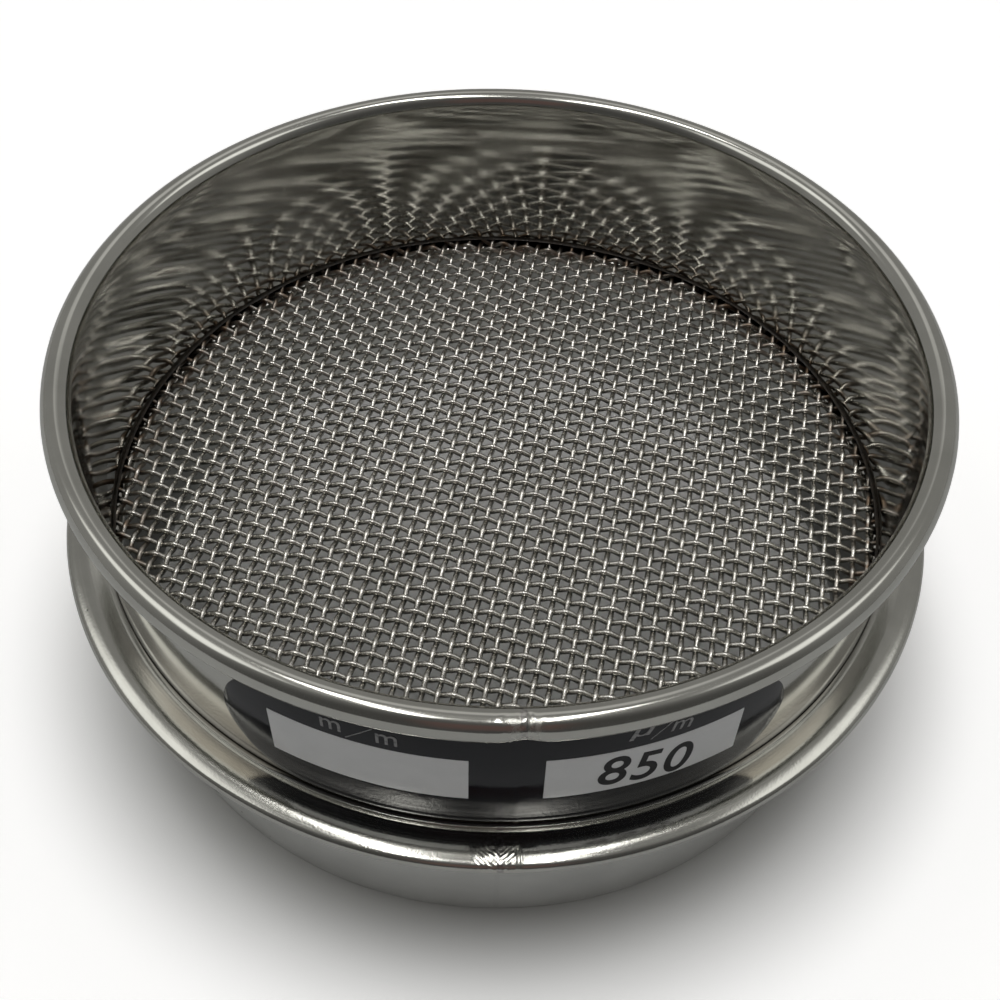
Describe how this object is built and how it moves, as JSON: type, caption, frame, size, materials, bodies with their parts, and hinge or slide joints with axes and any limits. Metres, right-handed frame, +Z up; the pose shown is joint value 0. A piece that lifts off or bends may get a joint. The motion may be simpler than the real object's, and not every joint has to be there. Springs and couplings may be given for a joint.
{
  "type": "soil sieve",
  "caption": "Round stainless steel test sieve: a shallow bowl with a rolled rim, woven wire cloth, and a beaded base ring whose skirt nests in the next sieve.",
  "frame": {"origin": "on the sieve's axis, at the plane that the skirt's bottom edge stands on", "axes": "+Z up along the sieve's axis, towards the open bowl; the label faces -Y"},
  "size_m": [0.0836, 0.0836, 0.0365],
  "materials": {
    "polished_steel": "polished stainless sheet",
    "ring_steel": "polished stainless sheet, satin on the skirt",
    "weld": "ground butt weld",
    "wire": "drawn stainless wire",
    "solder": "solder with dark flux stain",
    "label_black": "glossy black printed film",
    "label_white": "light printed window"
  },
  "bodies": {
    "root": {"bowl_shell": "polished_steel", "bowl_seam_weld": "weld", "base_ring": "ring_steel", "base_ring_seam_weld": "weld", "warp_wires": "wire", "weft_wires": "wire", "cloth_solder": "solder", "label_film": "label_black", "millimetre_window": "label_white", "micrometre_window": "label_white"}
  },
  "joints": []
}
